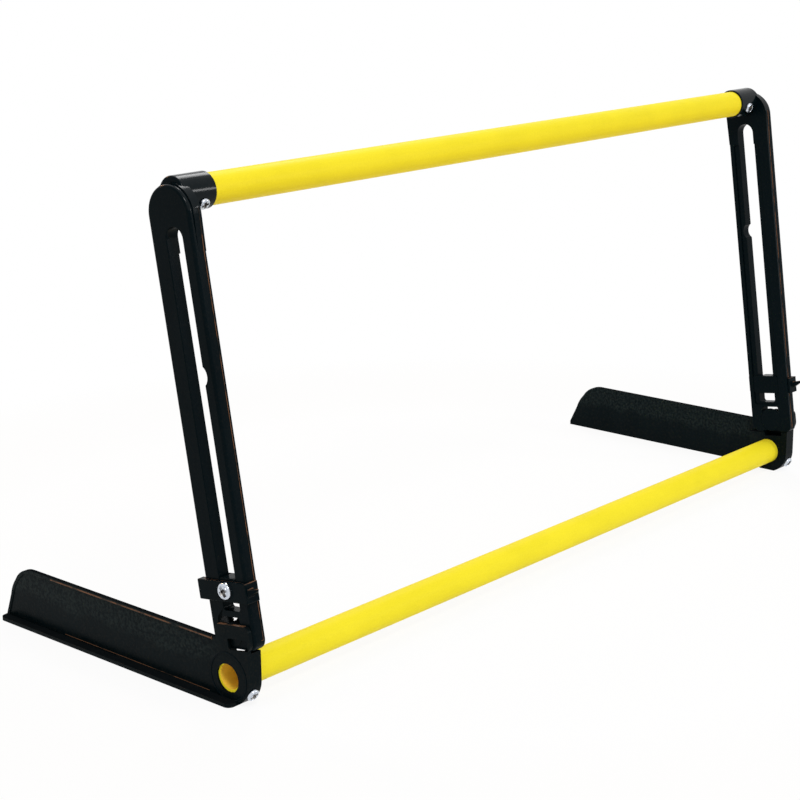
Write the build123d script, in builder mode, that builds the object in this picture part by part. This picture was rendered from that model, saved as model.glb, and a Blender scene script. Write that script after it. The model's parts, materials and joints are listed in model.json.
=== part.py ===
from build123d import *
from math import cos, radians, sin
import os

# Agility hurdle, dimensions in millimetres.
# X runs along the bars, Y points from front to rear, Z is up.
# The origin is on the floor, below the middle of the bounding box.

# Bars
bar_diameter = 25.4
bar_bore_diameter = 21.4
bottom_bar_length = 809.0
bottom_bar_axis_y = -122.0
bottom_bar_axis_height = 21.2
bar_fit_clearance = 0.05
bar_radius = bar_diameter / 2
bar_seat_radius = bar_radius + bar_fit_clearance

# Side stack, from the end of the bottom bar in
bar_stop_thickness = 1.5
bar_stop_lip = 0.7
bar_stop_hole_shift = 0.8
bar_stop_hole_drop = 1.2
web_thickness = 3.3
leg_thickness = 11.9
flange_width = 9.1
web_outer_x = bottom_bar_length / 2 + bar_stop_thickness
leg_outer_x = web_outer_x - web_thickness
flange_outer_x = web_outer_x + flange_width
bar_stop_hole_radius = bar_radius - bar_stop_lip

# Leg, leaning back and splayed outward, measured along its own line from the floor up
leg_lean_angle = 8.41
leg_splay_angle = 1.02
leg_line_offset_y = -11.84
leg_width = 46.35
leg_bottom = 44.0
leg_corner_radius = 9.3
leg_rear_corner_radius = 6.0
leg_edge_radius = 2.5
leg_inner_edge_radius = 0.9
slot_edge_radius = 0.6
arch_width = 20.0
arch_height = 1.5

# Round boss of the foot that the lower window of the leg sits on
boss_radius = 9.6
boss_rise = 13.1
boss_along = leg_bottom + boss_rise
window_clearance = 0.2
window_headroom = 4.6
window_top_radius = 1.5
window_top = boss_along + boss_radius + window_headroom

# Head of the leg with the top bar socket
socket_along = 397.2
socket_wall = 1.65
socket_length = 27.6
socket_outer_inset = 6.1
socket_outer_radius = 2.0
socket_edge_radius = 0.8
socket_radius = bar_seat_radius + socket_wall
head_shoulder = 1.0
head_pad_inset = 4.4
head_drop = 14.6
head_skirt = 29.0
head_outer_wall = 8.0
head_width = leg_width + 2 * head_shoulder
head_centre = socket_along - head_drop
head_bottom = head_centre - head_skirt

# Adjustment slot and the guide recess behind it
slot_width = 18.4
slot_offset = 3.0
slot_floor = 5.0
slot_crown = 23.3
slot_corner_radius = 2.5
slot_notch_drop = 113.0
slot_notch_radius = 9.0
slot_notch_depth = 3.5
slot_bottom = window_top + slot_floor
slot_top = socket_along - slot_crown
slot_notch_along = slot_top - slot_notch_drop
slot_across = -slot_offset
slot_notch_across = slot_across - slot_width / 2 - slot_notch_depth + slot_notch_radius
recess_shoulder = 6.0
recess_depth = 1.4
recess_below_slot = 2.5
recess_below_head = 1.0
recess_width = slot_width + 2 * recess_shoulder
recess_bottom = slot_bottom - recess_below_slot
recess_top = head_bottom - recess_below_head

# Foot
hub_wall = 10.05
hub_inner_step = 1.3
hub_radius = bar_seat_radius + hub_wall
hub_depth = leg_thickness - hub_inner_step
foot_rear_y = 276.0
web_inset_rear = 5.0
web_rear_y = foot_rear_y - web_inset_rear
web_height = 51.2
web_corner_radius = 28.0
lip_height = 3.0
lip_proud = 0.8
lip_front_gap = 17.0
flange_thickness = 3.2
flange_front_y = -9.0
flange_corner_radius = 5.5
leg_foot_gap = 0.4
foot_groove_width = 20.4
foot_groove_depth = 4.4
foot_top_along = leg_bottom - leg_foot_gap
foot_groove_along = foot_top_along - foot_groove_depth
post_height = 21.7
post_front_inset = 1.5
post_rear_inset = 5.9
post_corner_radius = 5.0
post_top = leg_bottom + post_height
post_front = -leg_width / 2 + post_front_inset
post_rear = leg_width / 2 - post_rear_inset
post_pocket_rise = 1.8
post_pocket_height = 9.0
post_pocket_front_inset = 3.3
post_pocket_width = 22.0
post_pocket_radius = 1.5
post_pocket_bottom = leg_bottom + post_pocket_rise
post_pocket_front = post_front + post_pocket_front_inset

# Cap on each boss
cap_overlap = 2.7
cap_inset = 0.1
cap_pocket_clearance = 0.2
cap_stem_radius = 3.0
cap_stem_length = 9.0
cap_stem_clearance = 0.05
cap_hole_spare = 1.0
cap_radius = boss_radius + cap_overlap
cap_thickness = recess_depth - cap_inset

# Sliding collar
collar_rise = 8.0
right_collar_lift = 2.0
collar_height = 16.2
collar_wall = 3.2
collar_front_wall = 2.4
collar_rear_wall = 5.2
collar_front_reach = 10.2
collar_rear_reach = 3.5
collar_edge_radius = 0.8
slide_clearance = 0.1
lug_size = 6.0
lug_length = 8.6
lug_tip_size = 2.2
lug_tip_rise = 3.0
lug_depth = 1.8
collar_bottom = slot_bottom + collar_rise
collar_middle = collar_bottom + collar_height / 2
collar_front = -leg_width / 2 - slide_clearance - collar_front_wall
collar_rear = leg_width / 2 + slide_clearance + collar_rear_wall
collar_face_depth = -slide_clearance - collar_wall

# Clamp plate behind the leg, with its key in the slot
plate_side_clearance = 0.4
plate_inset = 0.2
plate_height = 18.8
key_side_clearance = 0.3
key_corner_radius = 3.0
plate_width = recess_width - 2 * plate_side_clearance
plate_thickness = recess_depth - slide_clearance - plate_inset
key_width = slot_width - 2 * key_side_clearance

# Clamp screw and nut
clamp_screw_rise = 9.2
clamp_screw_radius = 3.0
clamp_screw_clearance = 0.3
clamp_head_radius = 6.9
clamp_head_height = 3.2
clamp_screw_length = 12.0
clamp_nut_flats = 10.0
clamp_nut_thickness = 5.0
clamp_nut_fit = 0.05
clamp_thread_clearance = 0.04
clamp_along = collar_bottom + clamp_screw_rise

# Set screws that hold the bars
top_screw_inset = 15.4
left_top_screw_angle = -147.0
right_top_screw_angle = -165.0
top_screw_head_radius = 4.5
top_screw_head_height = 2.4
top_screw_radius = 1.8
bottom_screw_inset = 6.0
bottom_screw_angle = -152.0
bottom_screw_head_radius = 5.3
bottom_screw_head_height = 2.6
bottom_screw_radius = 2.4
set_screw_clearance = 0.03
set_screw_reach = 1.0
bottom_screw_x = web_outer_x - bottom_screw_inset
set_screw_tip = bar_bore_diameter / 2 - set_screw_reach

os.makedirs("parts", exist_ok=True)

lean_sin = sin(radians(leg_lean_angle))
lean_cos = cos(radians(leg_lean_angle))
splay_sin = sin(radians(leg_splay_angle))
splay_cos = cos(radians(leg_splay_angle))
leg_line_y = bottom_bar_axis_y + leg_line_offset_y

# Left leg: directions up its length, inward through its thickness and across it to the rear.
# Its outer face starts to splay from the top edge of the post beside it.
leg_up = Vector(-splay_sin, splay_cos * lean_sin, splay_cos * lean_cos)
leg_in = Vector(splay_cos, splay_sin * lean_sin, splay_sin * lean_cos)
leg_across = Vector(0, lean_cos, -lean_sin)
splay_point = Vector(-leg_outer_x, leg_line_y + post_top * lean_sin, post_top * lean_cos)
leg_origin = splay_point - leg_up * post_top
leg_depth_axis = Axis(leg_origin, leg_in)

# Half turn that carries a left-hand piece of the leg to the right-hand side
leg_axis = Axis((0, leg_line_y, 0), (0, lean_sin, lean_cos))

# The right collar is set a little higher up its leg than the left one
right_lift = Location(leg_up * right_collar_lift)

# Top bar and the socket round it
top_bar_y = leg_line_y + socket_along * lean_sin
top_bar_z = socket_along * lean_cos
head_outer_x = leg_outer_x + (socket_along - post_top) * splay_sin
head_inner_x = head_outer_x - leg_thickness / splay_cos
socket_mouth_x = head_inner_x - socket_length
top_bar_length = 2 * (head_outer_x - head_outer_wall)
top_screw_x = head_inner_x - top_screw_inset


def leg_plane(depth):
    """Plane along the left leg at a depth behind its outer face: local X across it, local Y up it."""
    return Plane(origin=leg_origin + leg_in * depth, x_dir=leg_across, z_dir=leg_in)


def lean_plane(x):
    """Plane square to the bars that leans like the leg: local X across it, local Y up it."""
    return Plane(origin=(x, leg_line_y, 0), x_dir=leg_across, z_dir=(1, 0, 0))


def side_plane(x):
    """Plane square to the bars: local X is the rear direction, local Y is up."""
    return Plane(origin=(x, bottom_bar_axis_y, 0), x_dir=(0, 1, 0), z_dir=(1, 0, 0))


def screw_plane(x, axis_y, axis_z, angle, distance):
    """Plane square to a radius of a bar, at a distance from the bar's axis."""
    out_y = cos(radians(angle))
    out_z = sin(radians(angle))
    return Plane(
        origin=(x, axis_y + out_y * distance, axis_z + out_z * distance),
        x_dir=(1, 0, 0),
        z_dir=(0, out_y, out_z),
    )


# Legs

with BuildPart() as top_socket:
    with BuildSketch(lean_plane(-head_outer_x + socket_outer_inset)):
        with Locations((0, socket_along)):
            Circle(socket_radius)
    extrude(amount=head_outer_x - socket_outer_inset - socket_mouth_x)
    fillet(edges().sort_by(Axis.X)[0], socket_outer_radius)
    fillet(edges().sort_by(Axis.X)[-1], socket_edge_radius)

with BuildPart() as leg_moulding:
    with BuildSketch(leg_plane(0)):
        with Locations((0, leg_bottom)):
            Rectangle(leg_width, head_centre - leg_bottom, align=(Align.CENTER, Align.MIN))
        with Locations((0, head_centre)):
            Circle(leg_width / 2)
        fillet(vertices().group_by(Axis.Y)[0].sort_by(Axis.X)[0], leg_corner_radius)
        fillet(vertices().group_by(Axis.Y)[0].sort_by(Axis.X)[-1], leg_rear_corner_radius)
    extrude(amount=leg_thickness)
    fillet(faces().sort_by(leg_depth_axis)[0].edges(), leg_edge_radius)
    fillet(faces().sort_by(leg_depth_axis)[-1].edges(), leg_inner_edge_radius)
    # slightly wider pad on the inner side of the head, tapering into the leg below
    with BuildSketch(leg_plane(head_pad_inset)):
        with Locations((0, head_centre)):
            Circle(head_width / 2)
        with BuildLine():
            Polyline(
                (-leg_width / 2, head_bottom),
                (leg_width / 2, head_bottom),
                (head_width / 2, head_centre),
                (-head_width / 2, head_centre),
                close=True,
            )
        make_face()
    extrude(amount=leg_thickness - head_pad_inset)
    # socket for the top bar, which stays square to the bar
    add(top_socket.part)
    with BuildSketch(lean_plane(-head_outer_x + head_outer_wall)):
        with Locations((0, socket_along)):
            Circle(bar_seat_radius)
    extrude(amount=leg_thickness + socket_length, mode=Mode.SUBTRACT)
    # adjustment slot with its assembly notch
    with BuildSketch(leg_plane(0)):
        with Locations((slot_across, (slot_bottom + slot_top - slot_width / 2) / 2)):
            Rectangle(slot_width, slot_top - slot_width / 2 - slot_bottom)
        fillet(vertices().group_by(Axis.Y)[0], slot_corner_radius)
        with Locations((slot_across, slot_top - slot_width / 2)):
            Circle(slot_width / 2)
        with Locations((slot_notch_across, slot_notch_along)):
            Circle(slot_notch_radius)
    extrude(amount=leg_thickness, mode=Mode.SUBTRACT)
    fillet(faces().sort_by(leg_depth_axis)[0].inner_wires()[0].edges(), slot_edge_radius)
    # shallow guide recess for the clamp plate on the inner face
    with BuildSketch(leg_plane(leg_thickness)):
        with Locations((slot_across, (recess_bottom + recess_top) / 2)):
            RectangleRounded(recess_width, recess_top - recess_bottom, slot_corner_radius)
    extrude(amount=-recess_depth, mode=Mode.SUBTRACT)
    # lower window that drops over the boss of the foot
    with BuildSketch(leg_plane(0)):
        with Locations((0, (boss_along + window_top) / 2)):
            Rectangle(2 * (boss_radius + window_clearance), window_top - boss_along)
        fillet(vertices().group_by(Axis.Y)[-1], window_top_radius)
        with Locations((0, boss_along)):
            Circle(boss_radius + window_clearance)
    extrude(amount=leg_thickness, mode=Mode.SUBTRACT)
    with BuildSketch(leg_plane(leg_thickness)):
        with Locations((0, boss_along)):
            Circle(cap_radius + cap_pocket_clearance)
    extrude(amount=-recess_depth, mode=Mode.SUBTRACT)
    # shallow arch in the lower end
    with BuildSketch(leg_plane(0)):
        with Locations((0, leg_bottom)):
            Rectangle(arch_width, 2 * arch_height)
    extrude(amount=leg_thickness, mode=Mode.SUBTRACT)

# both legs are the same moulding, the right one turned round, each drilled for its set screw
with BuildPart() as left_leg:
    add(leg_moulding.part)
    with BuildSketch(screw_plane(-top_screw_x, top_bar_y, top_bar_z, left_top_screw_angle, 0)):
        Circle(top_screw_radius + set_screw_clearance)
    extrude(amount=2 * socket_radius, mode=Mode.SUBTRACT)
left_leg.part.label = "left_leg"
export_step(left_leg.part, "parts/left_leg.step")

with BuildPart() as right_leg:
    add(leg_moulding.part.rotate(leg_axis, 180))
    with BuildSketch(screw_plane(top_screw_x, top_bar_y, top_bar_z, right_top_screw_angle, 0)):
        Circle(top_screw_radius + set_screw_clearance)
    extrude(amount=2 * socket_radius, mode=Mode.SUBTRACT)
right_leg.part.label = "right_leg"
export_step(right_leg.part, "parts/right_leg.step")


# Feet

with BuildPart() as left_foot:
    # web with its hub round the bottom bar
    with BuildSketch(side_plane(-web_outer_x)):
        with Locations((web_rear_y / 2, web_height / 2)):
            Rectangle(web_rear_y, web_height)
        fillet(vertices().group_by(Axis.Y)[-1].sort_by(Axis.X)[-1], web_corner_radius)
        with Locations((0, bottom_bar_axis_height)):
            Circle(hub_radius)
        with Locations((0, (bottom_bar_axis_height + web_height) / 2)):
            Rectangle(2 * hub_radius, web_height - bottom_bar_axis_height)
        with Locations((0, -hub_radius)):
            Rectangle(4 * hub_radius, 2 * hub_radius, mode=Mode.SUBTRACT)
    extrude(amount=web_thickness)
    # post beside the lower end of the leg
    with BuildSketch(lean_plane(-web_outer_x)):
        with Locations(((post_front + post_rear) / 2, (post_top + leg_bottom) / 2)):
            Rectangle(post_rear - post_front, post_top - leg_bottom)
        fillet(vertices().group_by(Axis.Y)[-1], post_corner_radius)
        fillet(vertices().group_by(Axis.Y)[0].sort_by(Axis.X)[0], leg_corner_radius)
    extrude(amount=web_thickness)
    # thick block below the leg
    with BuildSketch(side_plane(-leg_outer_x)):
        with Locations((0, bottom_bar_axis_height)):
            Circle(hub_radius)
            Rectangle(2 * hub_radius, 2 * hub_radius, align=(Align.CENTER, Align.MIN))
        with Locations((0, -hub_radius)):
            Rectangle(4 * hub_radius, 2 * hub_radius, mode=Mode.SUBTRACT)
    extrude(amount=hub_depth)
    with BuildSketch(lean_plane(-leg_outer_x)):
        with Locations((0, foot_top_along)):
            Rectangle(4 * hub_radius, 2 * hub_radius, align=(Align.CENTER, Align.MIN))
        with Locations((0, foot_groove_along)):
            Rectangle(foot_groove_width, hub_radius, align=(Align.CENTER, Align.MIN))
    extrude(amount=2 * leg_thickness, mode=Mode.SUBTRACT)
    # boss that the leg's lower window sits on
    with BuildSketch(leg_plane(-web_thickness / 2)):
        with Locations((0, boss_along)):
            Circle(boss_radius)
    extrude(amount=web_thickness / 2 + leg_thickness - recess_depth)
    # flange along the floor
    with BuildSketch(Plane.XY):
        with Locations((-(flange_outer_x + leg_outer_x) / 2,
                        bottom_bar_axis_y + (flange_front_y + foot_rear_y) / 2)):
            Rectangle(flange_outer_x - leg_outer_x, foot_rear_y - flange_front_y)
        fillet(vertices().group_by(Axis.X)[0], flange_corner_radius)
    extrude(amount=flange_thickness)
    # rounded lip along the top and down the rear of the web
    with BuildSketch(side_plane(-web_outer_x)):
        with Locations(((lip_front_gap + web_rear_y) / 2, web_height / 2)):
            Rectangle(web_rear_y - lip_front_gap, web_height)
        fillet(vertices().group_by(Axis.Y)[-1].sort_by(Axis.X)[-1], web_corner_radius)
    lip_outline = extrude(amount=-lip_proud)
    with BuildSketch(side_plane(-web_outer_x)):
        with Locations(((web_rear_y - lip_height) / 2, (web_height - lip_height) / 2)):
            Rectangle(web_rear_y - lip_height, web_height - lip_height)
        fillet(vertices().group_by(Axis.Y)[-1].sort_by(Axis.X)[-1], web_corner_radius - lip_height)
        with Locations((0, flange_thickness / 2)):
            Rectangle(web_rear_y, flange_thickness, mode=Mode.SUBTRACT)
    extrude(amount=-lip_proud, mode=Mode.SUBTRACT)
    # seat and end stop for the bottom bar
    with BuildSketch(side_plane(-web_outer_x + bar_stop_thickness)):
        with Locations((0, bottom_bar_axis_height)):
            Circle(bar_seat_radius)
    extrude(amount=web_thickness + leg_thickness, mode=Mode.SUBTRACT)
    with BuildSketch(side_plane(-flange_outer_x)):
        with Locations((bar_stop_hole_shift, bottom_bar_axis_height - bar_stop_hole_drop)):
            Circle(bar_stop_hole_radius)
    extrude(amount=flange_outer_x - leg_outer_x, mode=Mode.SUBTRACT)
    # pocket in the post, open over the top of the block
    with BuildSketch(lean_plane(-web_outer_x)):
        with Locations((post_pocket_front + post_pocket_width / 2,
                        post_pocket_bottom + post_pocket_height / 2)):
            RectangleRounded(post_pocket_width, post_pocket_height, post_pocket_radius)
    extrude(amount=web_thickness, mode=Mode.SUBTRACT)
    # hole for the stem of the boss cap
    with BuildSketch(leg_plane(leg_thickness - recess_depth)):
        with Locations((0, boss_along)):
            Circle(cap_stem_radius + cap_stem_clearance)
    extrude(amount=-cap_stem_length - cap_hole_spare, mode=Mode.SUBTRACT)
    # hole for the bottom set screw
    with BuildSketch(screw_plane(-bottom_screw_x, bottom_bar_axis_y, bottom_bar_axis_height,
                                 bottom_screw_angle, 0)):
        Circle(bottom_screw_radius + set_screw_clearance)
    extrude(amount=2 * hub_radius, mode=Mode.SUBTRACT)
left_foot.part.label = "left_foot"
export_step(left_foot.part, "parts/left_foot.step")

with BuildPart() as right_foot:
    mirror(left_foot.part, about=Plane.YZ)
right_foot.part.label = "right_foot"
export_step(right_foot.part, "parts/right_foot.step")


# Caps on the bosses, set into the inner face of each leg

with BuildPart() as left_cap:
    with BuildSketch(leg_plane(leg_thickness - recess_depth)):
        with Locations((0, boss_along)):
            Circle(cap_radius)
    extrude(amount=cap_thickness)
    with BuildSketch(leg_plane(leg_thickness - recess_depth)):
        with Locations((0, boss_along)):
            Circle(cap_stem_radius)
    extrude(amount=-cap_stem_length)
left_cap.part.label = "left_cap"
export_step(left_cap.part, "parts/left_cap.step")

with BuildPart() as right_cap:
    mirror(left_cap.part, about=Plane.YZ)
right_cap.part.label = "right_cap"
export_step(right_cap.part, "parts/right_cap.step")


# Bars

with BuildPart() as bottom_bar:
    with BuildSketch(side_plane(-bottom_bar_length / 2)):
        with Locations((0, bottom_bar_axis_height)):
            Circle(bar_radius)
            Circle(bar_bore_diameter / 2, mode=Mode.SUBTRACT)
    extrude(amount=bottom_bar_length)
    for side in (-1, 1):
        with BuildSketch(screw_plane(side * bottom_screw_x, bottom_bar_axis_y,
                                     bottom_bar_axis_height, bottom_screw_angle, 0)):
            Circle(bottom_screw_radius + set_screw_clearance)
        extrude(amount=bar_diameter, mode=Mode.SUBTRACT)
bottom_bar.part.label = "bottom_bar"
export_step(bottom_bar.part, "parts/bottom_bar.step")

with BuildPart() as top_bar:
    with BuildSketch(lean_plane(-top_bar_length / 2)):
        with Locations((0, socket_along)):
            Circle(bar_radius)
            Circle(bar_bore_diameter / 2, mode=Mode.SUBTRACT)
    extrude(amount=top_bar_length)
    with BuildSketch(screw_plane(-top_screw_x, top_bar_y, top_bar_z, left_top_screw_angle, 0)):
        Circle(top_screw_radius + set_screw_clearance)
    extrude(amount=bar_diameter, mode=Mode.SUBTRACT)
    with BuildSketch(screw_plane(top_screw_x, top_bar_y, top_bar_z, right_top_screw_angle, 0)):
        Circle(top_screw_radius + set_screw_clearance)
    extrude(amount=bar_diameter, mode=Mode.SUBTRACT)
top_bar.part.label = "top_bar"
export_step(top_bar.part, "parts/top_bar.step")


# Set screws: a domed head outside the socket, a shank through the bar's wall

with BuildPart() as left_top_screw:
    with BuildSketch(screw_plane(-top_screw_x, top_bar_y, top_bar_z, left_top_screw_angle,
                                 set_screw_tip)):
        Circle(top_screw_radius)
    extrude(amount=socket_radius - set_screw_tip)
    with BuildSketch(screw_plane(-top_screw_x, top_bar_y, top_bar_z, left_top_screw_angle,
                                 socket_radius)):
        Circle(top_screw_head_radius)
    extrude(amount=top_screw_head_height)
left_top_screw.part.label = "left_top_screw"
export_step(left_top_screw.part, "parts/left_top_screw.step")

with BuildPart() as right_top_screw:
    with BuildSketch(screw_plane(top_screw_x, top_bar_y, top_bar_z, right_top_screw_angle,
                                 set_screw_tip)):
        Circle(top_screw_radius)
    extrude(amount=socket_radius - set_screw_tip)
    with BuildSketch(screw_plane(top_screw_x, top_bar_y, top_bar_z, right_top_screw_angle,
                                 socket_radius)):
        Circle(top_screw_head_radius)
    extrude(amount=top_screw_head_height)
right_top_screw.part.label = "right_top_screw"
export_step(right_top_screw.part, "parts/right_top_screw.step")

with BuildPart() as left_bottom_screw:
    with BuildSketch(screw_plane(-bottom_screw_x, bottom_bar_axis_y, bottom_bar_axis_height,
                                 bottom_screw_angle, set_screw_tip)):
        Circle(bottom_screw_radius)
    extrude(amount=hub_radius - set_screw_tip)
    with BuildSketch(screw_plane(-bottom_screw_x, bottom_bar_axis_y, bottom_bar_axis_height,
                                 bottom_screw_angle, hub_radius)):
        Circle(bottom_screw_head_radius)
    extrude(amount=bottom_screw_head_height)
left_bottom_screw.part.label = "left_bottom_screw"
export_step(left_bottom_screw.part, "parts/left_bottom_screw.step")

with BuildPart() as right_bottom_screw:
    mirror(left_bottom_screw.part, about=Plane.YZ)
right_bottom_screw.part.label = "right_bottom_screw"
export_step(right_bottom_screw.part, "parts/right_bottom_screw.step")


# Sliding collars

with BuildPart() as collar_blank:
    # channel over the outer face of the leg, with a long wall in front and a short one behind
    with BuildSketch(leg_plane(collar_face_depth)):
        with Locations(((collar_front + collar_rear) / 2, collar_middle)):
            Rectangle(collar_rear - collar_front, collar_height)
    extrude(amount=collar_front_reach - collar_face_depth)
    fillet(faces().sort_by(leg_depth_axis)[0].edges(), collar_edge_radius)
    with BuildSketch(leg_plane(-slide_clearance)):
        with Locations((0, collar_middle)):
            Rectangle(leg_width + 2 * slide_clearance, 2 * collar_height)
    extrude(amount=leg_thickness, mode=Mode.SUBTRACT)
    with BuildSketch(leg_plane(collar_rear_reach)):
        with Locations((0, collar_middle)):
            Rectangle(leg_width, 2 * collar_height, align=(Align.MIN, Align.CENTER))
    extrude(amount=leg_thickness, mode=Mode.SUBTRACT)
    # tapered hook lug on the front edge, rising to its tip
    lug_root_plane = Plane(
        origin=leg_plane(lug_depth).from_local_coords(Vector(collar_front, collar_middle, 0)),
        x_dir=leg_in,
        z_dir=-leg_across,
    )
    with BuildSketch(lug_root_plane) as lug_root:
        Rectangle(lug_size, lug_size)
    with BuildSketch(lug_root_plane.offset(lug_length)) as lug_end:
        with Locations((0, lug_tip_rise)):
            Rectangle(lug_tip_size, lug_tip_size)
    loft(sections=[lug_root.sketch, lug_end.sketch])

with BuildPart() as clamp_screw_hole:
    with BuildSketch(leg_plane(collar_face_depth)):
        with Locations((slot_across, clamp_along)):
            Circle(clamp_screw_radius + clamp_screw_clearance)
    extrude(amount=clamp_screw_length + slide_clearance)

with BuildPart() as left_collar:
    add(collar_blank.part)
    add(clamp_screw_hole.part, mode=Mode.SUBTRACT)
left_collar.part.label = "left_collar"
export_step(left_collar.part, "parts/left_collar.step")

with BuildPart() as right_collar:
    mirror(collar_blank.part.moved(right_lift), about=Plane.YZ)
    add(clamp_screw_hole.part.moved(right_lift).rotate(leg_axis, 180), mode=Mode.SUBTRACT)
right_collar.part.label = "right_collar"
export_step(right_collar.part, "parts/right_collar.step")


# Clamp plates, nuts and screws, which follow the slot

with BuildPart() as left_clamp_plate:
    with BuildSketch(leg_plane(leg_thickness - recess_depth + slide_clearance)):
        with Locations((slot_across, clamp_along)):
            RectangleRounded(plate_width, plate_height, slot_corner_radius)
    extrude(amount=plate_thickness)
    with BuildSketch(leg_plane(-slide_clearance)):
        with Locations((slot_across, clamp_along)):
            RectangleRounded(key_width, plate_height, key_corner_radius)
    extrude(amount=leg_thickness - recess_depth + 2 * slide_clearance)
    add(clamp_screw_hole.part, mode=Mode.SUBTRACT)
    with BuildSketch(leg_plane(-slide_clearance)):
        with Locations((slot_across, clamp_along)):
            RegularPolygon(clamp_nut_flats / 2 + clamp_nut_fit, 6, major_radius=False)
    extrude(amount=clamp_nut_thickness, mode=Mode.SUBTRACT)
left_clamp_plate.part.label = "left_clamp_plate"
export_step(left_clamp_plate.part, "parts/left_clamp_plate.step")

with BuildPart() as right_clamp_plate:
    add(left_clamp_plate.part.moved(right_lift).rotate(leg_axis, 180))
right_clamp_plate.part.label = "right_clamp_plate"
export_step(right_clamp_plate.part, "parts/right_clamp_plate.step")

with BuildPart() as left_clamp_nut:
    with BuildSketch(leg_plane(-slide_clearance)):
        with Locations((slot_across, clamp_along)):
            RegularPolygon(clamp_nut_flats / 2, 6, major_radius=False)
            Circle(clamp_screw_radius + clamp_thread_clearance, mode=Mode.SUBTRACT)
    extrude(amount=clamp_nut_thickness)
left_clamp_nut.part.label = "left_clamp_nut"
export_step(left_clamp_nut.part, "parts/left_clamp_nut.step")

with BuildPart() as right_clamp_nut:
    add(left_clamp_nut.part.moved(right_lift).rotate(leg_axis, 180))
right_clamp_nut.part.label = "right_clamp_nut"
export_step(right_clamp_nut.part, "parts/right_clamp_nut.step")

with BuildPart() as left_clamp_screw:
    with BuildSketch(leg_plane(collar_face_depth)):
        with Locations((slot_across, clamp_along)):
            Circle(clamp_screw_radius)
    extrude(amount=clamp_screw_length)
    with BuildSketch(leg_plane(collar_face_depth)):
        with Locations((slot_across, clamp_along)):
            Circle(clamp_head_radius)
    extrude(amount=-clamp_head_height)
left_clamp_screw.part.label = "left_clamp_screw"
export_step(left_clamp_screw.part, "parts/left_clamp_screw.step")

with BuildPart() as right_clamp_screw:
    add(left_clamp_screw.part.moved(right_lift).rotate(leg_axis, 180))
right_clamp_screw.part.label = "right_clamp_screw"
export_step(right_clamp_screw.part, "parts/right_clamp_screw.step")
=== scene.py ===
"""Agility hurdle: two yellow bars between leaning slotted black legs on long flat feet.

Lengths are in metres and angles in degrees. X runs along the bars, Y to the rear, Z is up.
"""

import json
from collections import namedtuple
from math import cos, radians, sin

import bmesh
import bpy
from mathutils import Matrix, Vector


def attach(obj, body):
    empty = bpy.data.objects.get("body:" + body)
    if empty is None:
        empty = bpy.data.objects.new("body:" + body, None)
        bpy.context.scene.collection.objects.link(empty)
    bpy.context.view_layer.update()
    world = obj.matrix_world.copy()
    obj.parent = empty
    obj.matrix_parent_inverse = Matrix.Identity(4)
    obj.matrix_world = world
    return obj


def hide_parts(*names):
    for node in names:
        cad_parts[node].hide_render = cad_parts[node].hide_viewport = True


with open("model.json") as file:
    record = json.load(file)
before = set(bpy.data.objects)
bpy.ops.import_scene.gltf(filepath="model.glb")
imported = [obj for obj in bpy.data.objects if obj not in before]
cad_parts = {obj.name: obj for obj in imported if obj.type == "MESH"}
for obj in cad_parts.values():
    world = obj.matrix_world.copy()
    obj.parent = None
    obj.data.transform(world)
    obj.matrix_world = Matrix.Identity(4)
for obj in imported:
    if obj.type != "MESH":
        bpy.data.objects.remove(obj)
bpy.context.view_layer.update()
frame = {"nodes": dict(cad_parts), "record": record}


MM = 0.001
SIDES = {"left": -1, "right": 1}


# ---- Shader nodes ---------------------------------------------------------------------

def node_graph(name):
    """A new material with its node tree and its surface shader."""
    material = bpy.data.materials.new(name)
    material.use_nodes = True
    return material, material.node_tree, material.node_tree.nodes["Principled BSDF"]


def object_noise(tree, scale, detail=2.0, roughness=0.5, stretch=(1, 1, 1)):
    """Noise that is fixed to the piece, with its scale in cycles per metre."""
    place = tree.nodes.new("ShaderNodeTexCoord")
    mapping = tree.nodes.new("ShaderNodeMapping")
    mapping.inputs["Scale"].default_value = stretch
    noise = tree.nodes.new("ShaderNodeTexNoise")
    noise.inputs["Scale"].default_value = scale
    noise.inputs["Detail"].default_value = detail
    noise.inputs["Roughness"].default_value = roughness
    tree.links.new(place.outputs["Object"], mapping.inputs["Vector"])
    tree.links.new(mapping.outputs["Vector"], noise.inputs["Vector"])
    return noise.outputs["Fac"]


def ramp(tree, factor, stops):
    """Colour ramp from (position, colour) stops."""
    node = tree.nodes.new("ShaderNodeValToRGB")
    elements = node.color_ramp.elements
    for element, (position, colour) in zip(elements, (stops[0], stops[-1])):
        element.position = position
        element.color = (*colour, 1)
    for position, colour in stops[1:-1]:
        elements.new(position).color = (*colour, 1)
    tree.links.new(factor, node.inputs["Fac"])
    return node.outputs["Color"]


def spread(tree, factor, low, high, from_low=0.3, from_high=0.7):
    """A factor's middle range spread over low to high."""
    node = tree.nodes.new("ShaderNodeMapRange")
    node.inputs["From Min"].default_value = from_low
    node.inputs["From Max"].default_value = from_high
    node.inputs["To Min"].default_value = low
    node.inputs["To Max"].default_value = high
    tree.links.new(factor, node.inputs["Value"])
    return node.outputs["Result"]


def blend(tree, kind, one, other):
    """Two colours multiplied or added."""
    node = tree.nodes.new("ShaderNodeMix")
    node.data_type = "RGBA"
    node.blend_type = kind
    node.inputs["Factor"].default_value = 1.0
    tree.links.new(one, node.inputs["A"])
    tree.links.new(other, node.inputs["B"])
    return node.outputs["Result"]


def combined(tree, operation, one, other):
    """Two numbers put together by a maths operation."""
    node = tree.nodes.new("ShaderNodeMath")
    node.operation = operation
    tree.links.new(one, node.inputs[0])
    tree.links.new(other, node.inputs[1])
    return node.outputs["Value"]


def split(tree, vector):
    """A vector's X, Y and Z."""
    node = tree.nodes.new("ShaderNodeSeparateXYZ")
    tree.links.new(vector, node.inputs["Vector"])
    return node.outputs


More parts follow.
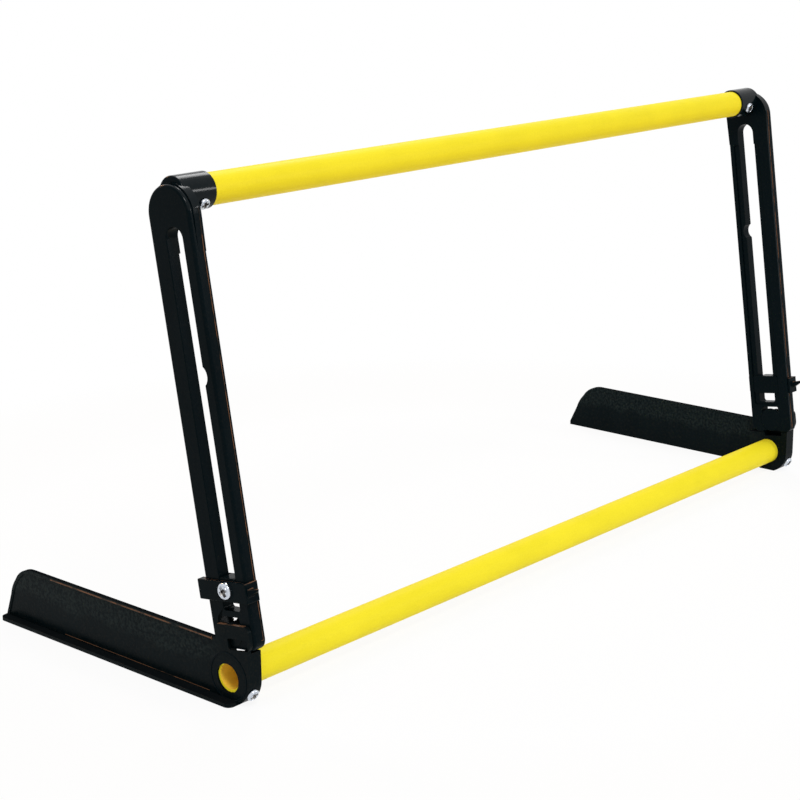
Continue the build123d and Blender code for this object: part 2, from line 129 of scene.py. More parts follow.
def facing_up(tree):
    """How far a surface faces up, from -1 to 1."""
    surface = tree.nodes.new("ShaderNodeNewGeometry")
    return split(tree, surface.outputs["Normal"])["Z"]


def bumps(tree, shader, layers):
    """Stacked bump nodes from (height, strength, distance) layers."""
    normal = None
    for height, strength, distance in layers:
        node = tree.nodes.new("ShaderNodeBump")
        node.inputs["Strength"].default_value = strength
        node.inputs["Distance"].default_value = distance
        tree.links.new(height, node.inputs["Height"])
        if normal:
            tree.links.new(normal, node.inputs["Normal"])
        normal = node.outputs["Normal"]
    tree.links.new(normal, shader.inputs["Normal"])


# ---- Materials ------------------------------------------------------------------------

# Grain of the mouldings, in cycles per metre
GRAIN_SCALE = 1300
# Darkest and lightest tone of each black
DEEP_BLACK = ((0.0007, 0.0038, 0.0056), (0.0014, 0.0051, 0.0072))
DUSTY_BLACK = ((0.0014, 0.0044, 0.0056), (0.0022, 0.0055, 0.0068))
FLAT_BLACK = ((0.0042, 0.0058, 0.0068), (0.0056, 0.0074, 0.0086))
# What the densest specks of dust add to a black
NO_DUST = (0.0, 0.0, 0.0)
LIGHT_DUST = (0.0050, 0.0040, 0.0030)
HEAVY_DUST = (0.0100, 0.0070, 0.0044)
# From sound black to a warm brown that is partly rubbed wear and partly a painted highlight
WORN_AND_HIGHLIGHT_TONES = (
    (0.0, (0.0030, 0.0060, 0.0070)),
    (0.5, (0.034, 0.026, 0.021)),
    (1.0, (0.160, 0.080, 0.044)),
)
# Painted light on a web, lighter by the share of its height, and in dense and thin patches
PAINTED_LIGHT_TONES = (
    (0.18, NO_DUST),
    (0.34, (0.0003, 0.0008, 0.0011)),
    (0.50, (0.0008, 0.0014, 0.0017)),
    (0.62, (0.0050, 0.0078, 0.0080)),
)
PAINTED_LIGHT_PATCHES = ((0.43, (0.0, 0.05, 0.10)), (0.59, (2.0, 1.75, 1.6)))
PAINTED_LIGHT_STARTS_Y = -118 * MM
PAINTED_LIGHT_FULL_Y = -92 * MM
WEB_HEIGHT = 51 * MM


def bar_yellow(name, low, high):
    """Satin yellow tube with a fine speckle and faint drawing lines along its length."""
    material, tree, shader = node_graph(name)
    speckle = object_noise(tree, 900, detail=3.0, roughness=0.6)
    cloud = object_noise(tree, 26)
    lines = object_noise(tree, 420, stretch=(0.02, 1, 1))
    tone = ramp(tree, cloud, [(0.35, low), (0.65, high)])
    grain = ramp(tree, speckle, [(0.30, (0.93, 0.92, 0.88)), (0.70, (1.0, 1.0, 1.0))])
    tree.links.new(blend(tree, "MULTIPLY", tone, grain), shader.inputs["Base Color"])
    tree.links.new(spread(tree, cloud, 0.40, 0.50), shader.inputs["Roughness"])
    shader.inputs["Specular IOR Level"].default_value = 0.06
    bumps(tree, shader, [(lines, 0.10, 0.0002), (speckle, 0.10, 0.0001)])
    return material


def painted_light_band(tree, cloud):
    """Painted light on the web of a foot: lighter towards its top edge, on its upright faces.
    """
    place = split(tree, tree.nodes.new("ShaderNodeTexCoord").outputs["Object"])
    height = spread(tree, place["Z"], 0.0, 1.0, from_low=0.0, from_high=WEB_HEIGHT)
    uneven = combined(tree, "ADD", height, spread(tree, cloud, -0.08, 0.08))
    speckle = object_noise(tree, 380, detail=4.0, roughness=0.7)
    masks = (
        ramp(tree, speckle, PAINTED_LIGHT_PATCHES),
        spread(tree, place["Y"], 0.0, 1.0, from_low=PAINTED_LIGHT_STARTS_Y, from_high=PAINTED_LIGHT_FULL_Y),
        spread(tree, facing_up(tree), 1.0, 0.0, from_low=0.2, from_high=0.6),
    )
    painted_brightening = ramp(tree, uneven, PAINTED_LIGHT_TONES)
    for mask in masks:
        painted_brightening = blend(tree, "MULTIPLY", painted_brightening, mask)
    return painted_brightening


def moulded_black(
    name,
    roughness,
    gloss=0.03,
    grain_depth=0.22,
    tones=DEEP_BLACK,
    dust=LIGHT_DUST,
    with_painted_band=False,
):
    """Black injection-moulded plastic: fine grain, warm dust, flow marks, uneven gloss."""
    material, tree, shader = node_graph(name)
    grain = object_noise(tree, GRAIN_SCALE, detail=3.0, roughness=0.6)
    specks = object_noise(tree, 455, detail=4.0, roughness=0.7)
    flow = object_noise(tree, 34, detail=3.0, stretch=(1, 1, 0.35))
    tone = ramp(tree, flow, [(0.30, tones[0]), (0.70, tones[1])])
    colour = blend(tree, "ADD", tone, ramp(tree, specks, [(0.50, NO_DUST), (0.78, dust)]))
    # Painted light: the foot's web made lighter towards its top edge
    if with_painted_band:
        colour = blend(tree, "ADD", colour, painted_light_band(tree, flow))
    tree.links.new(colour, shader.inputs["Base Color"])
    tree.links.new(spread(tree, flow, *roughness), shader.inputs["Roughness"])
    shader.inputs["Specular IOR Level"].default_value = gloss
    bumps(tree, shader, [(flow, 0.10, 0.0008), (grain, grain_depth, 0.00012)])
    return material


def bright_plate(name, colour, roughness):
    """Plated steel with a slightly clouded gloss."""
    material, tree, shader = node_graph(name)
    cloud = object_noise(tree, 500, detail=3.0)
    tone = ramp(tree, cloud, [(0.3, tuple(c * 0.86 for c in colour)), (0.7, colour)])
    tree.links.new(tone, shader.inputs["Base Color"])
    shader.inputs["Metallic"].default_value = 1.0
    tree.links.new(spread(tree, cloud, *roughness), shader.inputs["Roughness"])
    bumps(tree, shader, [(cloud, 0.08, 0.0001)])
    return material


def worn_and_highlight_black(name, upward_only):
    """Black rubbed paler and browner in patches, partly a painted warm highlight, where
    wanted only on upward faces.
    """
    material, tree, shader = node_graph(name)
    patches = object_noise(tree, 55, detail=3.0, roughness=0.6)
    grain = object_noise(tree, GRAIN_SCALE, detail=3.0, roughness=0.6)
    amount = spread(tree, patches, 0.0, 1.0, from_low=0.32, from_high=0.52)
    # Painted highlight: kept to upward faces, where a warm light from above catches them
    if upward_only:
        upward = spread(tree, facing_up(tree), 0.0, 1.0, from_low=0.15, from_high=0.6)
        amount = combined(tree, "MULTIPLY", amount, upward)
    tree.links.new(ramp(tree, amount, WORN_AND_HIGHLIGHT_TONES), shader.inputs["Base Color"])
    tree.links.new(spread(tree, patches, 0.25, 0.40), shader.inputs["Roughness"])
    shader.inputs["Specular IOR Level"].default_value = 0.05
    bumps(tree, shader, [(grain, 0.20, 0.00012)])
    return material


worn_and_highlight_edge = worn_and_highlight_black("worn_and_highlight_edge", upward_only=True)
painted_highlight_line = worn_and_highlight_black("painted_highlight_line", upward_only=False)
foot_black = moulded_black(
    "foot_black", (0.22, 0.34), tones=DUSTY_BLACK, dust=HEAVY_DUST, with_painted_band=True
)
dull_black = moulded_black("dull_black", (0.40, 0.55), gloss=0.0, tones=FLAT_BLACK)
polished_black = moulded_black("polished_black", (0.15, 0.20), gloss=0.11, grain_depth=0.015)
# Painted light: the bore's warmer orange stands for light bounced inside the tube
bore_painted_bounce = bar_yellow("bore_painted_bounce", (0.96, 0.62, 0.060), (1.0, 0.72, 0.085))
# Painted shade: a dark plate for the inside of the screws' cross recesses
recess_painted_shade = bright_plate("screw_recess_painted_shade", (0.20, 0.19, 0.18), (0.20, 0.40))
materials = {
    "bar_plastic": bar_yellow("bar_yellow", (0.90, 0.765, 0.024), (0.94, 0.80, 0.027)),
    "black_plastic": moulded_black("moulded_black", (0.20, 0.32)),
    "screw_steel": bright_plate("screw_plate", (0.64, 0.68, 0.74), (0.12, 0.26)),
    "nut_steel": bright_plate("nut_plate", (0.62, 0.62, 0.63), (0.24, 0.38)),
}

# Places of a piece's further materials, after its own at 0
WORN_AND_HIGHLIGHT_EDGE, PAINTED_HIGHLIGHT_LINE, OTHER_BLACK = 1, 2, 3
BORE = 1
RECESS = 1


# ---- Making pieces --------------------------------------------------------------------

SMOOTH_UP_TO = radians(30)
SHARP_FROM = radians(32)
FLAT_WITHIN = radians(0.3)
ROOM_BESIDE_ROUNDING = 2.5

body_of = {
    node: body
    for body, nodes in frame["record"]["behaviour"]["bodies"].items()
    for node in nodes
}


def finished_piece(name, shape, slot, *nodes, body):
    """A closed mesh as a piece that stands for some nodes and rides on a body."""
    bmesh.ops.recalc_face_normals(shape, faces=shape.faces)
    mesh = bpy.data.meshes.new(name)
    shape.to_mesh(mesh)
    shape.free()
    mesh.shade_smooth()
    mesh.set_sharp_from_angle(angle=SMOOTH_UP_TO)
    mesh.materials.append(materials[slot])
    piece = bpy.data.objects.new(name, mesh)
    bpy.context.scene.collection.objects.link(piece)
    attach(piece, body)
    if nodes:
        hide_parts(*nodes)
    return piece


def mark_sharp_edges(shape, width):
    """Weights for the sharp edges that have room for a rounding of some width."""
    weight = shape.edges.layers.float.new("bevel_weight_edge")
    sharp = {
        edge
        for edge in shape.edges
        if len(edge.link_faces) == 2 and edge.calc_face_angle(0) > SHARP_FROM
    }
    for edge in sharp:
        beside = [
            other.calc_length()
            for corner in edge.verts
            for other in corner.link_edges
            if other not in sharp
        ]
        if min(beside, default=1) > ROOM_BESIDE_ROUNDING * width:
            edge[weight] = 1.0


def round_edges(piece, width):
    """Rounds a piece's marked edges."""
    bevel = piece.modifiers.new("rounded_edges", "BEVEL")
    bevel.width = width
    bevel.segments = 3
    bevel.limit_method = "WEIGHT"
    even = piece.modifiers.new("even_shading", "WEIGHTED_NORMAL")
    even.keep_sharp = True
    return bevel


def joined_copy(node):
    """A node's triangles as one closed mesh with flat faces."""
    shape = bmesh.new()
    shape.from_mesh(frame["nodes"][node].data)
    bmesh.ops.remove_doubles(shape, verts=shape.verts, dist=2e-6)
    bmesh.ops.dissolve_limit(
        shape, angle_limit=FLAT_WITHIN, verts=shape.verts, edges=shape.edges
    )
    return shape


def slice_faces(shape, faces, point, facing):
    """Cuts some faces along a plane, leaving both halves."""
    faces = list(faces)
    edges = {edge for face in faces for edge in face.edges}
    corners = {corner for face in faces for corner in face.verts}
    bmesh.ops.bisect_plane(
        shape,
        geom=[*faces, *edges, *corners],
        dist=1e-6,
        plane_co=point,
        plane_no=facing,
    )


def edges_among(items):
    """The edges in an operator's result."""
    return [item for item in items if isinstance(item, bmesh.types.BMEdge)]


def trim(shape, point, facing):
    """Cuts away what lies beyond a plane and closes the cut."""
    cut = bmesh.ops.bisect_plane(
        shape,
        geom=shape.verts[:] + shape.edges[:] + shape.faces[:],
        dist=1e-7,
        plane_co=point,
        plane_no=facing,
        clear_outer=True,
    )["geom_cut"]
    bmesh.ops.holes_fill(shape, edges=edges_among(cut))


# ---- Measures of the mouldings --------------------------------------------------------

# How squarely a face has to look a way, or how little it may
FACES_SIDE = 0.985
FACES_OUTWARD = 0.99
FACES_UP = 0.9
ASIDE_ON_RIM = 0.6
ASIDE_IN_BORE = 0.5

# Bars: Y and Z of each axis
TOP_BAR_AXIS = (-75.75 * MM, 392.93 * MM)
BOTTOM_BAR_AXIS = (-122.0 * MM, 21.2 * MM)
BORE_WITHIN = 11.2 * MM

# Legs, measured along their own slant from floor level on the outer face
LEAN = radians(8.41)
SPLAY = radians(1.02)
LEG_LINE_Y = -133.84 * MM
POST_TOP = 65.7 * MM
POST_TOP_X = 402.7 * MM
BOSS_ALONG = 57.1 * MM
CAP_FLAT_FROM_AXIS = 9.9 * MM

# Polished head: above this height, and round the top bar between the legs
HEAD_ALONG = 385 * MM
SOCKET_WITHIN = 17 * MM
SOCKET_ENDS_X = 396 * MM

# Grooves in the leg's long sides, between two depths behind the outer face
GROOVE_NEAR = 7.5 * MM
GROOVE_FAR = 9.9 * MM
GROOVE_SLOPE = 0.3 * MM
GROOVE_DEPTH = 0.4 * MM
GROOVED_BEYOND = 22 * MM

# Groups of corners, in millimetres up the leg, to the rear and inward, and their moves
WINDOW_CORNERS = ((66, 72), (7, 10.1), (-1, 13))
WINDOW_TO_REAR = 4.5 * MM
ARCH_CORNERS = ((45, 46), (-10.2, 10.2), (-1, 13))
ARCH_UP = 0.6 * MM
POCKET_CORNERS = ((45.6, 47.5), (0.0, 4.0), (-3.6, 0.2))
POCKET_DOWN = 1.5 * MM

# Feet: the web with a lip along its top, and the flange on the floor
WEB_FACE = 406.0 * MM
ON_WEB_FACE = 0.1 * MM
LIP_FROM_X = 406.5 * MM
LIP_FROM_Z = 48 * MM
FLANGE_TOP = 3.2 * MM
FLANGE_FROM_X = 407 * MM
FLANGE_END_FROM_Y = 149.5 * MM
ON_FLANGE_TOP = 0.05 * MM

# Rear ends: (height, shift to the rear) up a web in millimetres, and a flange's shift
END_RAKE = {
    "left_foot": ((0, 11.0), (3.2, 11.0), (22, 3.5), (38, 0.0), (51, 0.5)),
    "right_foot": ((0, 2.5), (3.2, 2.5), (22, -7.1), (38, -12.3), (51, -12.5)),
}
FLANGE_SHIFT = {"left_foot": 5.5 * MM, "right_foot": -3.0 * MM}
SHIFTED_FROM_Y = 50 * MM
END_FACES_FROM_Y = 140 * MM
END_SLICE_Y = 118 * MM

# Painted highlight lines: a lip's and a web's heights and ends, and a post top's front and
# outer limits
LIP_LINE = (49.0 * MM, 50.2 * MM)
LIP_LINE_END_Y = 95 * MM
WEB_HIGHLIGHT_LINE = (3.8 * MM, 4.4 * MM)
WEB_HIGHLIGHT_ENDS_Y = (-100 * MM, 70 * MM)
POST_FROM_Z = 60 * MM
POST_FROM_Y = -135 * MM
POST_FROM_X = 402.5 * MM


Leg = namedtuple("Leg", "start up inward rearward")


def leg_of(node):
    """Point on a leg's outer face at floor level, and the leg's three directions."""
    sign = SIDES[node.split("_")[0]]
    up = Vector((sign * sin(SPLAY), cos(SPLAY) * sin(LEAN), cos(SPLAY) * cos(LEAN)))
    inward = Vector((-sign * cos(SPLAY), sin(SPLAY) * sin(LEAN), sin(SPLAY) * cos(LEAN)))
    rearward = Vector((0, cos(LEAN), -sin(LEAN)))
    top = Vector((sign * POST_TOP_X, LEG_LINE_Y + POST_TOP * sin(LEAN), POST_TOP * cos(LEAN)))
    return Leg(top - up * POST_TOP, up, inward, rearward)


def corners_between(shape, leg, along, across, depth):
    """A shape's corners whose leg measures lie in three ranges of millimetres."""
    ranges = ((leg.up, along), (leg.rearward, across), (leg.inward, depth))
    return [
        vert
        for vert in shape.verts
        if all(
            low * MM < (vert.co - leg.start).dot(direction) < high * MM
            for direction, (low, high) in ranges
        )
    ]


def from_axis(point, axis):
    """Distance of a point from a bar's axis."""
    return Vector((point.y - axis[0], point.z - axis[1])).length


# ---- Shapes of the legs and caps ------------------------------------------------------

def groove_leg_sides(shape, node):
    """A shallow groove up both long sides of a leg."""
    leg = leg_of(node)
    for depth in (GROOVE_NEAR, GROOVE_FAR):
        slice_faces(shape, shape.faces, leg.start + leg.inward * depth, leg.inward)
    for side in (-1, 1):
        strip = []
        for face in shape.faces:
            middle = face.calc_center_median() - leg.start
            if (
                face.normal.dot(leg.rearward) * side > FACES_SIDE
                and GROOVE_NEAR < middle.dot(leg.inward) < GROOVE_FAR
                and middle.dot(leg.rearward) * side > GROOVED_BEYOND
            ):
                strip.append(face)
        walls = bmesh.ops.inset_region(
            shape,
            faces=strip,
            thickness=GROOVE_SLOPE,
            depth=-GROOVE_DEPTH,
            use_even_offset=True,
        )["faces"]
        # Painted highlight: the groove walls take the brown highlight line
        for face in walls:
            face.material_index = PAINTED_HIGHLIGHT_LINE


def widen_window(shape, node):
    """Slants the rear side of the lower window open, and lifts the arch in the lower end."""
    leg = leg_of(node)
    window = corners_between(shape, leg, *WINDOW_CORNERS)
    bmesh.ops.translate(shape, vec=leg.rearward * WINDOW_TO_REAR, verts=window)
    arch = corners_between(shape, leg, *ARCH_CORNERS)
    bmesh.ops.translate(shape, vec=leg.up * ARCH_UP, verts=arch)


def flatten_cap(shape, node):
    """A flat on the upper rear side of a boss cap."""
    leg = leg_of(node)
    towards = (leg.up + leg.rearward).normalized()
    trim(shape, leg.start + leg.up * BOSS_ALONG + towards * CAP_FLAT_FROM_AXIS, towards)


# ---- Shapes of the feet ---------------------------------------------------------------

def slice_foot(shape):
    """Bounds of the painted highlight lines on a foot's lip and web, and of its rear end."""
    for y in (*WEB_HIGHLIGHT_ENDS_Y, LIP_LINE_END_Y, END_SLICE_Y):
        slice_faces(shape, shape.faces, (0, y, 0), (0, 1, 0))
    for height in LIP_LINE:
        lip = []
        for face in shape.faces:
            middle = face.calc_center_median()
            if abs(middle.x) > LIP_FROM_X and middle.z > LIP_FROM_Z:
                lip.append(face)
        slice_faces(shape, lip, (0, 0, height), (0, 0, 1))
    for height in WEB_HIGHLIGHT_LINE:
        web = []
        for face in shape.faces:
            off_web = abs(abs(face.calc_center_median().x) - WEB_FACE)
            if abs(face.normal.x) > FACES_OUTWARD and off_web < ON_WEB_FACE:
                web.append(face)
        slice_faces(shape, web, (0, 0, height), (0, 0, 1))


def raked(steps, height):
    """Shift of a raked edge at a height, from (height, shift) steps in millimetres."""
    for (low, low_shift), (high, high_shift) in zip(steps, steps[1:]):
        if height <= high * MM:
            share = max((height - low * MM) / ((high - low) * MM), 0)
            return (low_shift + (high_shift - low_shift) * share) * MM
    return steps[-1][1] * MM


def shift_foot_end(shape, node):
    """Rakes the rear end of a foot's web, and moves its flange's end."""
    end = [face for face in shape.faces if face.calc_center_median().y > END_FACES_FROM_Y]
    bmesh.ops.triangulate(shape, faces=end)
    for vert in shape.verts:
        x, y, z = vert.co
        if y > SHIFTED_FROM_Y:
            low = z < FLANGE_TOP + ON_FLANGE_TOP
            on_flange = low and (abs(x) > FLANGE_FROM_X or y > FLANGE_END_FROM_Y)
            vert.co.y += FLANGE_SHIFT[node] if on_flange else raked(END_RAKE[node], z)


def lower_pocket(shape, node):
    """Opens the pocket in a foot's post a little further down."""
    leg = leg_of(node)
    pocket = corners_between(shape, leg, *POCKET_CORNERS)
    bmesh.ops.translate(shape, vec=leg.up * -POCKET_DOWN, verts=pocket)


# ---- Finishes of the bars, legs and feet ----------------------------------------------

def paint_bore_bounce_light(piece, node):
    """Painted light: a warmer orange on the inside of a bar, for light bounced round its
    bore.
    """
    axis = BOTTOM_BAR_AXIS if node == "bottom_bar" else TOP_BAR_AXIS
    piece.data.materials.append(bore_painted_bounce)
    for face in piece.data.polygons:
        if from_axis(face.center, axis) < BORE_WITHIN and abs(face.normal.x) < ASIDE_IN_BORE:
            face.material_index = BORE


def polish_head(piece, node):
    """The smoother socket and rim at the head of a leg."""
    leg = leg_of(node)
    piece.data.materials.append(polished_black)
    for face in piece.data.polygons:
        round_bar = from_axis(face.center, TOP_BAR_AXIS) < SOCKET_WITHIN
        on_socket = round_bar and abs(face.center.x) < SOCKET_ENDS_X
        on_head = (face.center - leg.start).dot(leg.up) > HEAD_ALONG
        on_rim = on_head and abs(face.normal.dot(leg.inward)) < ASIDE_ON_RIM
        if on_socket or on_rim:
            face.material_index = OTHER_BLACK


def finish_foot(piece):
    """Dull upward faces on a foot, painted light on its web through its material, and painted
    highlight lines on its lip, web and post top.
    """
    piece.data.materials[0] = foot_black
    piece.data.materials.append(dull_black)
    for face in piece.data.polygons:
        x, y, z = face.center
        upward = face.normal.z > FACES_UP
        on_lip = LIP_LINE[0] < z < LIP_LINE[1] and abs(x) > LIP_FROM_X
        on_web = WEB_HIGHLIGHT_LINE[0] < z < WEB_HIGHLIGHT_LINE[1] and abs(x) > WEB_FACE - ON_WEB_FACE
        on_post = upward and z > POST_FROM_Z and abs(x) > POST_FROM_X
        # Painted highlight lines on the lip, the web's foot and the post top
        if (
            (on_lip and y < LIP_LINE_END_Y)
            or (on_web and WEB_HIGHLIGHT_ENDS_Y[0] < y < WEB_HIGHLIGHT_ENDS_Y[1])
            or (on_post and y > POST_FROM_Y)
        ):
            face.material_index = PAINTED_HIGHLIGHT_LINE
        elif upward:
            face.material_index = OTHER_BLACK


# ---- Mouldings, plates and nuts -------------------------------------------------------

def softened(node, slot, width):
    """A node's own shape with its edges rounded."""
    shape = joined_copy(node)
    if node.endswith("_leg"):
        groove_leg_sides(shape, node)
    if node == "left_leg":
        widen_window(shape, node)
    if node == "left_cap":
        flatten_cap(shape, node)
    if node.endswith("_foot"):
        slice_foot(shape)
        shift_foot_end(shape, node)
    if node == "left_foot":
        lower_pocket(shape, node)
    shape.normal_update()
    mark_sharp_edges(shape, width)
    piece = finished_piece(f"{node}_moulding", shape, slot, node, body=body_of[node])
    bevel = round_edges(piece, width)
    # Rounded edges: rubbed wear that is partly a painted warm highlight
    if node.endswith(("_leg", "_foot", "_collar")):
        piece.data.materials.append(worn_and_highlight_edge)
        piece.data.materials.append(painted_highlight_line)
        bevel.material = WORN_AND_HIGHLIGHT_EDGE
    if node.endswith("_leg"):
        polish_head(piece, node)
    if node.endswith("_foot"):
        finish_foot(piece)
    if node.endswith("_bar"):
        paint_bore_bounce_light(piece, node)


for side in SIDES:
    for part, width in (
        ("leg", 0.6 * MM),
        ("foot", 0.8 * MM),
        ("collar", 0.7 * MM),
        ("cap", 0.3 * MM),
        ("clamp_plate", 0.3 * MM),
    ):
        softened(f"{side}_{part}", "black_plastic", width)
    softened(f"{side}_clamp_nut", "nut_steel", 0.25 * MM)
for bar in ("bottom_bar", "top_bar"):
    softened(bar, "bar_plastic", 0.3 * MM)


# ---- Raised rings round the bar holes -------------------------------------------------

# Section of a ring as (out from the web's face, radius)
RING_SECTION = (
    (-0.3 * MM, 18.9 * MM),
    (0.25 * MM, 18.9 * MM),
    (0.45 * MM, 19.2 * MM),
    (0.45 * MM, 20.4 * MM),
    (0.25 * MM, 20.7 * MM),
    (-0.3 * MM, 20.7 * MM),
)
RING_SUNK = 0.2 * MM


def closed_outline(shape, corners):
    """Edges from each corner to the next, and back to the first."""
    return [shape.edges.new(pair) for pair in zip(corners, corners[1:] + corners[:1])]


for side, sign in SIDES.items():
    shape = bmesh.new()
    axis_y, axis_z = BOTTOM_BAR_AXIS
    corners = [
        shape.verts.new((sign * (WEB_FACE + out), axis_y, axis_z + radius))
        for out, radius in RING_SECTION
    ]
    bmesh.ops.spin(
        shape,
        geom=corners + closed_outline(shape, corners),
        cent=(sign * WEB_FACE, axis_y, axis_z),
        axis=(1, 0, 0),
        angle=radians(360),
        steps=96,
        use_merge=True,
    )
    bmesh.ops.remove_doubles(shape, verts=shape.verts, dist=1e-6)
    trim(shape, (0, 0, FLANGE_TOP - RING_SUNK), (0, 0, -1))
    finished_piece(f"{side}_hub_ring", shape, "black_plastic", body=body_of[f"{side}_foot"])


# ---- Screws with a cross recess -------------------------------------------------------

# Side of a pan head as (share of its radius, share of its height)
HEAD_OUTLINE = ((1, 0.42), (0.985, 0.58), (0.94, 0.74), (0.86, 0.87), (0.78, 0.95))
# Groove round the crown as (share of the head's radius outside the crown, depth)
CROWN_GROOVE = ((0.12, 0.0), (0.08, 0.3 * MM), (0.02, 0.3 * MM), (0.0, 0.0))
UNDERSIDE_EDGE = 0.15 * MM
# Recess as (share of its depth, scale from the ring above)
RECESS_STEPS = ((0.6, 0.82), (1.0, 0.45))

CLAMP_SCREW_TURN = 38
COLLAR_FACE = 3.3 * MM
TOP_SCREW_X = 381.3 * MM
TOP_SCREW_ANGLE = {"left": -147, "right": -165}
BOTTOM_SCREW_X = 400.0 * MM
BOTTOM_SCREW_ANGLE = -152


def edge_ring(shape, edges, height, scale):
    """Carries an open ring of edges on to the next ring of a turned shape."""
    made = bmesh.ops.extrude_edge_only(shape, edges=edges)["geom"]
    corners = [item for item in made if isinstance(item, bmesh.types.BMVert)]
    bmesh.ops.scale(shape, vec=(scale, scale, 1), verts=corners)
    level = corners[0].co.z
    bmesh.ops.translate(shape, vec=(0, 0, height - level), verts=corners)
    return edges_among(made)


def cross_outline(shape, arm, half_width, height):
    """A closed cross of edges, for the mouth of the recess."""
    corners = []
    for quarter in range(4):
        turn = Matrix.Rotation(radians(90 * quarter), 3, "Z")
        for x, y in ((half_width, half_width), (half_width, arm), (-half_width, arm)):
            corners.append(shape.verts.new(turn @ Vector((x, y, 0)) + Vector((0, 0, height))))
    return closed_outline(shape, corners)


def turned_screw(shank_radius, shank_length, head_radius, head_height, crown_radius, recess):
    """A pan head screw along Z with its head's seat at zero and its shank below."""
    shape = bmesh.new()
    bmesh.ops.create_circle(shape, cap_ends=True, radius=shank_radius, segments=48)
    bmesh.ops.translate(shape, vec=(0, 0, -shank_length), verts=shape.verts)
    ring = shape.edges[:]
    radius = shank_radius
    profile = [
        (shank_radius, 0),
        (head_radius - UNDERSIDE_EDGE, 0),
        (head_radius, UNDERSIDE_EDGE),
    ]
    for share, level in HEAD_OUTLINE:
        profile.append((head_radius * share, head_height * level))
    for outside, depth in CROWN_GROOVE:
        profile.append((crown_radius + head_radius * outside, head_height - depth))
    for next_radius, height in profile:
        ring = edge_ring(shape, ring, height, next_radius / radius)
        radius = next_radius
    arm, half_width, depth = recess
    floor = cross_outline(shape, arm, half_width, head_height)
    bmesh.ops.triangle_fill(shape, use_beauty=True, edges=ring + floor, normal=(0, 0, 1))
    head_and_shank = set(shape.faces)
    for share, scale in RECESS_STEPS:
        floor = edge_ring(shape, floor, head_height - share * depth, scale)
    bmesh.ops.edgeloop_fill(shape, edges=floor)
    # Painted shade: the recess faces take the dark plate
    for face in shape.faces:
        if face not in head_and_shank:
            face.material_index = RECESS
    return shape


def set_screw(node, seat, out, turn, **sizes):
    """Puts a turned screw in a node's place, head outwards."""
    shape = turned_screw(**sizes)
    aim = Vector(out).normalized().to_track_quat("Z", "Y").to_matrix().to_4x4()
    place = Matrix.Translation(seat) @ aim @ Matrix.Rotation(radians(turn), 4, "Z")
    bmesh.ops.transform(shape, matrix=place, verts=shape.verts)
    piece = finished_piece(f"{node}_turned", shape, "screw_steel", node, body=body_of[node])
    piece.data.materials.append(recess_painted_shade)


def bar_screw(node, x, axis, angle, seat_radius, turn, **sizes):
    """A screw that points at a bar's axis from a seat outside it."""
    out = Vector((0, cos(radians(angle)), sin(radians(angle))))
    seat = Vector((x, *axis)) + out * seat_radius
    set_screw(node, seat, out, turn, **sizes)


for side, sign in SIDES.items():
    joint = next(
        item
        for item in frame["record"]["behaviour"]["joints"]
        if item["child"] == f"{side}_screw"
    )
    outward = Vector(joint["axis"])
    set_screw(
        f"{side}_clamp_screw",
        Vector(joint["pos_m"]) + outward * COLLAR_FACE,
        outward,
        CLAMP_SCREW_TURN,
        shank_radius=3.0 * MM,
        shank_length=12.0 * MM,
        head_radius=6.9 * MM,
        head_height=3.2 * MM,
        crown_radius=4.6 * MM,
        recess=(4.4 * MM, 1.75 * MM, 2.6 * MM),
    )
    bar_screw(
        f"{side}_top_screw",
        sign * TOP_SCREW_X,
        TOP_BAR_AXIS,
        TOP_SCREW_ANGLE[side],
        seat_radius=14.4 * MM,
        turn=20,
        shank_radius=1.8 * MM,
        shank_length=4.0 * MM,
        head_radius=4.9 * MM,
        head_height=2.4 * MM,
        crown_radius=3.4 * MM,
        recess=(3.1 * MM, 1.25 * MM, 2.0 * MM),
    )
    bar_screw(
        f"{side}_bottom_screw",
        sign * BOTTOM_SCREW_X,
        BOTTOM_BAR_AXIS,
        BOTTOM_SCREW_ANGLE,
        seat_radius=22.8 * MM,
        turn=30,
        shank_radius=2.4 * MM,
        shank_length=12.4 * MM,
        head_radius=5.3 * MM,
        head_height=2.6 * MM,
        crown_radius=3.6 * MM,
        recess=(3.3 * MM, 1.3 * MM, 2.0 * MM),
    )


# ---- Stage, lights and camera ---------------------------------------------------------

FLOOR_HALF_WIDTH = 40
NEAR_FLOOR = (0.92, 0.92, 0.92)
FAR_FLOOR = (0.66, 0.50, 0.34)
WORLD_STRENGTH = 0.55
LAMP_TARGET = (0, 0, 0.2)
CAMERA_PLACE = (-1.3165, -1.12226, 0.60315)
CAMERA_TURN = -48.078
CAMERA_DIP = 15.013
CAMERA_ROLL = -0.720
CAMERA_LENS = 84.09


def seen_rays(tree, *kinds):
    """One for rays of the named kinds, and zero for others."""
    rays = tree.nodes.new("ShaderNodeLightPath")
    seen = rays.outputs[kinds[0]]
    for kind in kinds[1:]:
        seen = combined(tree, "MAXIMUM", seen, rays.outputs[kind])
    return seen


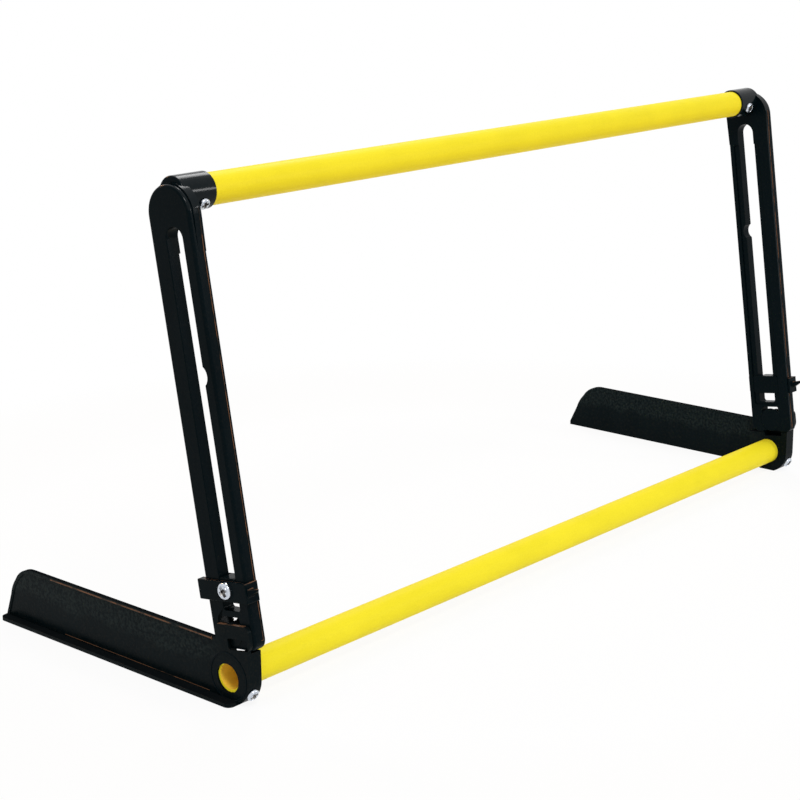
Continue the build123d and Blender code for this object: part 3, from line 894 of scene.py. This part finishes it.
def stage_material():
    """White to the eye, with a light shadow, and a matt floor to the lamps."""
    material = bpy.data.materials.new("white_floor")
    material.use_nodes = True
    tree = material.node_tree
    tree.nodes.clear()
    place = tree.nodes.new("ShaderNodeTexCoord")
    away = tree.nodes.new("ShaderNodeVectorMath")
    away.operation = "LENGTH"
    tree.links.new(place.outputs["Object"], away.inputs[0])
    distance = away.outputs["Value"]
    matt = tree.nodes.new("ShaderNodeBsdfDiffuse")
    tone = ramp(tree, distance, [(0.45, NEAR_FLOOR), (0.75, FAR_FLOOR)])
    tree.links.new(tone, matt.inputs["Color"])
    glow = tree.nodes.new("ShaderNodeEmission")
    seen = seen_rays(tree, "Is Camera Ray", "Is Glossy Ray")
    share = spread(tree, distance, 0.90, 1.0, from_low=0.40, from_high=0.75)
    mix = tree.nodes.new("ShaderNodeMixShader")
    out = tree.nodes.new("ShaderNodeOutputMaterial")
    tree.links.new(combined(tree, "MULTIPLY", seen, share), mix.inputs[0])
    tree.links.new(matt.outputs[0], mix.inputs[1])
    tree.links.new(glow.outputs[0], mix.inputs[2])
    tree.links.new(mix.outputs[0], out.inputs["Surface"])
    return material


def lay_floor():
    """A wide flat floor under the feet."""
    shape = bmesh.new()
    bmesh.ops.create_grid(shape, x_segments=1, y_segments=1, size=FLOOR_HALF_WIDTH)
    mesh = bpy.data.meshes.new("floor")
    shape.to_mesh(mesh)
    shape.free()
    mesh.materials.append(stage_material())
    floor = bpy.data.objects.new("floor", mesh)
    bpy.context.scene.collection.objects.link(floor)


def light_world():
    """White where it is seen or mirrored, softer where it only lights."""
    world = bpy.data.worlds.new("studio")
    world.use_nodes = True
    bpy.context.scene.world = world
    tree = world.node_tree
    background = tree.nodes["Background"]
    background.inputs["Color"].default_value = (1, 1, 1, 1)
    seen = seen_rays(tree, "Is Camera Ray", "Is Glossy Ray", "Is Transmission Ray")
    strength = spread(tree, seen, WORLD_STRENGTH, 1.0, from_low=0.0, from_high=1.0)
    tree.links.new(strength, background.inputs["Strength"])


def hang_lamp(name, place, size, watts, colour=(1, 1, 1)):
    """A square lamp that faces the middle of the hurdle."""
    data = bpy.data.lights.new(name, "AREA")
    data.size = size
    data.energy = watts
    data.color = colour
    lamp = bpy.data.objects.new(name, data)
    lamp.location = place
    aim = Vector(LAMP_TARGET) - Vector(place)
    lamp.rotation_euler = aim.to_track_quat("-Z", "Y").to_euler()
    bpy.context.scene.collection.objects.link(lamp)


def place_camera():
    """The viewing angle: left foot near, looking down a little along the bars."""
    data = bpy.data.cameras.new("camera")
    data.lens = CAMERA_LENS
    data.sensor_width = 36
    camera = bpy.data.objects.new("camera", data)
    turn = Matrix.Rotation(radians(CAMERA_TURN), 4, "Z")
    tilt = Matrix.Rotation(radians(90 - CAMERA_DIP), 4, "X")
    roll = Matrix.Rotation(radians(CAMERA_ROLL), 4, "Z")
    camera.matrix_world = Matrix.Translation(CAMERA_PLACE) @ turn @ tilt @ roll
    bpy.context.scene.collection.objects.link(camera)
    bpy.context.scene.camera = camera


lay_floor()
light_world()
hang_lamp("key", (-1.1, -1.5, 2.3), size=0.6, watts=29)
hang_lamp("rear_soft", (1.19, 0.87, 1.94), size=0.7, watts=12)
hang_lamp("front_small", (1.06, -1.70, 0.76), size=0.30, watts=6)
hang_lamp("rear_warm", (-0.12, 2.04, 1.4), size=0.2, watts=8, colour=(1.0, 0.50, 0.22))
place_camera()
bpy.context.scene.view_settings.view_transform = "Standard"
